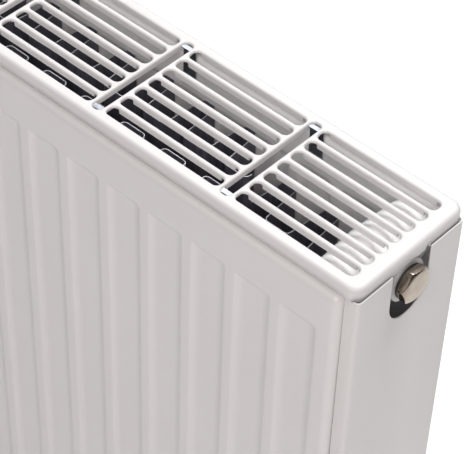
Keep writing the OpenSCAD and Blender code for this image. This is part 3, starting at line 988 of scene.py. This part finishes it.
def vent_plug():
    angles = plug_angles()
    collar_start = -collar_high[0]
    bore_r, recess_r, recess = 3.55, 4.2, HEAD_END - RECESS_DEPTH
    rows = [(BOSS_END - SHANK_LEN, bore_r)] + shank_rows(angles)
    rows += hex_rows(HEAD_START, collar_start - 0.3, angles, 0.25)
    rows += [(collar_start - 0.3, 5.6), (HEAD_END - 0.3, 5.6), (HEAD_END, 5.3), (HEAD_END, recess_r + 0.3),
             (HEAD_END - 0.3, recess_r), (recess, recess_r), (recess, bore_r)]
    shell = Shell()
    rings(shell, rows, angles, HUB_TOP)
    return shell.build("vent_body_hexagon", "radiator", ["vent_plug"], [NICKEL], angle=24,
                       mirrored=True)


def vent_collar():
    """White outlet collar with grip flutes and its spout."""
    inner, outer, spout_r, way_r = 5.65, 9.5, 1.4, 0.7
    x0, x1 = -collar_high[0], -collar_low[0]
    angles = np.linspace(0, 2 * math.pi, 96, endpoint=False)
    grip = outer - 0.35 * (0.5 + 0.5 * np.cos(angles * 24)) ** 2
    rows = [(x0, inner + 0.3), (x0, grip - 0.4), (x0 + 0.4, grip), (x1 - 0.6, grip), (x1 - 0.15, grip - 0.2),
            (x1, grip - 0.6), (x1, inner + 0.3), (x1 - 0.3, inner), (x0 + 0.3, inner)]
    shell = Shell()
    rings(shell, rows, angles, HUB_TOP)
    middle = (x0 + x1) / 2
    down = lambda along, a, b: (middle + a, MID_Y + b, HUB_TOP - along)
    end = HUB_TOP - collar_low[2]
    profile = [(outer - 1, way_r), (outer - 1, spout_r), (end - 0.3, spout_r), (end, spout_r - 0.3),
               (end, way_r)]
    revolve(shell, profile, down, steps=32)
    return shell.build("vent_outlet_collar", "bleed_collar", ["vent_collar"], [COLLAR],
                       angle=30, mirrored=True)


def block(shell, low, high):
    (x0, y0, z0), (x1, y1, z1) = low, high
    for x in (x0, x1):
        shell.grid([[(x, y0, z0), (x, y1, z0)], [(x, y0, z1), (x, y1, z1)]])
    for y in (y0, y1):
        shell.grid([[(x0, y, z0), (x1, y, z0)], [(x0, y, z1), (x1, y, z1)]])
    for z in (z0, z1):
        shell.grid([[(x0, y0, z), (x1, y0, z)], [(x0, y1, z), (x1, y1, z)]])


def vent_screw():
    """Bleed screw: round spindle, square key and a driver slot."""
    end, start, recess = -screw_low[0], -screw_high[0], HEAD_END - RECESS_DEPTH
    key, slot_w, slot_h, r = 2.45, 0.9, 1.0, 3.5
    shell = Shell()
    profile = [(start, 0.01), (start, r - 0.6), (start + 0.6, r), (recess - 0.3, r), (recess, r - 0.3),
               (recess, 0.01)]
    turned(profile, at_hub(HUB_TOP), 48)(shell)
    y, z = MID_Y, HUB_TOP
    block(shell, (recess - 0.3, y - key, z - key), (end - slot_h, y + key, z + key))
    for side in (-1, 1):
        a, b = sorted((y + side * slot_w / 2, y + side * key))
        block(shell, (end - slot_h - 0.05, a, z - key), (end, b, z + key))
    return shell.build("bleed_screw_key", "bleed_screw", ["vent_screw"], [BRASS], angle=30,
                       bevel=0.18, mirrored=True)


# ---- Hanging lugs -----------------------------------------------------------------------------

def lugs(name):
    """Channel straps with rounded bends and weld beads along both legs."""
    low, high = box(name)
    thick, width = 2.0, PITCH + 2
    back, face = high[1] - thick / 2, MID_Y + FACE
    x_mid = high[0] - width / 2
    shell = Shell()
    for side in (-1, 1):
        centre = side * x_mid
        half = width / 2 - thick / 2
        line = rounded_line([(-half, face), (-half, back), (half, back), (half, face)], 2.2)
        place = lambda u, v, w, c=centre: (c + u, v, w)
        folded(shell, line, (low[2], high[2]), thick, place)
        for leg in (-1, 1):
            x = centre + leg * (width / 2 + 0.3)
            for k in range(16):
                z = low[2] + 5 + k * 2.0
                ball = [(1.5 * math.cos(a), 1.5 * math.sin(a)) for a in np.linspace(math.pi, 0, 9)]
                place = lambda along, a, b, cx=x, cz=z: (cx + a, face + 0.2 + b * 0.8, cz + along)
                turned([(u, max(r, 0.001)) for u, r in ball], place, 14)(shell)
    return shell.build(name + "_straps", "radiator", [name], [WHITE], angle=40)


# ---- Assembly ---------------------------------------------------------------------------------

water_panels()
convector("front_convector", -1)
convector("rear_convector", 1)
grille()
grille_clips()
side_panel("right_side_panel", "right_side", False)
side_panel("left_side_panel", "left_side", True)
side_clips("right_side_clips", "right_side", False)
side_clips("left_side_clips", "left_side", True)
tees()
boss("top_right_boss", HUB_TOP, False)
boss("top_left_boss", HUB_TOP, True)
boss("bottom_right_boss", HUB_LOW, False)
boss("bottom_left_boss", HUB_LOW, True)
blanking_plug()
o_ring("blanking_o_ring", "plug_seal", False)
o_ring("vent_o_ring", "radiator", True)
vent_plug()
vent_collar()
vent_screw()
lugs("upper_lugs")
lugs("lower_lugs")


# ---- Stage ------------------------------------------------------------------------------------

def floor():
    material, tree, shader = new_material("studio_floor")
    speckle = noise(tree, 3.0, 3.0)
    tree.links.new(ramp(tree, speckle.outputs["Fac"], [(0.3, (0.93, 0.93, 0.93)), (0.7, (0.95, 0.95, 0.95))]),
                   shader.inputs["Base Color"])
    shader.inputs["Roughness"].default_value = 0.9
    shader.inputs["Emission Color"].default_value = (1, 1, 1, 1)
    shader.inputs["Emission Strength"].default_value = 0.21
    half = 6.0
    mesh = bpy.data.meshes.new("studio_floor")
    corners = [(-half, -half, -0.001), (half, -half, -0.001), (half, half, -0.001), (-half, half, -0.001)]
    mesh.from_pydata(corners, [], [(0, 1, 2, 3)])
    mesh.materials.append(material)
    link("studio_floor", mesh)


def softbox(name, place, target, size, power, colour):
    light = bpy.data.lights.new(name, "AREA")
    light.color = colour
    light.shape = "RECTANGLE"
    light.size, light.size_y = size
    light.energy = power
    lamp = link(name, light)
    lamp.location = place
    lamp.rotation_euler = (Vector(target) - Vector(place)).to_track_quat("-Z", "Y").to_euler()


def world(strength):
    studio = bpy.data.worlds.new("studio")
    studio.use_nodes = True
    background = studio.node_tree.nodes["Background"]
    background.inputs["Color"].default_value = (1.0, 0.962, 0.95, 1)
    background.inputs["Strength"].default_value = strength
    bpy.context.scene.world = studio


def camera():
    """The photo's camera, fitted to the grille's slots."""
    lens = bpy.data.cameras.new("view")
    lens.lens = 146.8
    lens.sensor_width = 36
    lens.clip_start, lens.clip_end = 0.01, 50
    eye = link("view", lens)
    right = Vector((0.73455, 0.67797, 0.02812))
    forward = Vector((-0.46264, 0.53070, -0.71016))
    up = right.cross(forward).normalized()
    across = forward.cross(up).normalized()
    turn = Matrix((across, up, -forward.normalized())).transposed().to_4x4()
    eye.matrix_world = Matrix.Translation((0.7985, -0.60415, 1.3307)) @ turn
    bpy.context.scene.camera = eye


floor()
world(0.04)
softbox("overhead", (-0.1, 1.0, 2.6), (0, 0, 0.6), (2.0, 1.6), 52, (0.97, 0.985, 1.0))
softbox("key", (1.3, -1.4, 2.3), (0.2, 0, 0.4), (1.3, 1.3), 40, (1.0, 0.94, 0.925))
softbox("fill", (-1.4, 2.2, 1.8), (-0.1, 0, 0.4), (1.6, 1.6), 16, (1.0, 0.98, 0.96))
camera()
bpy.context.scene.view_settings.view_transform = "Standard"
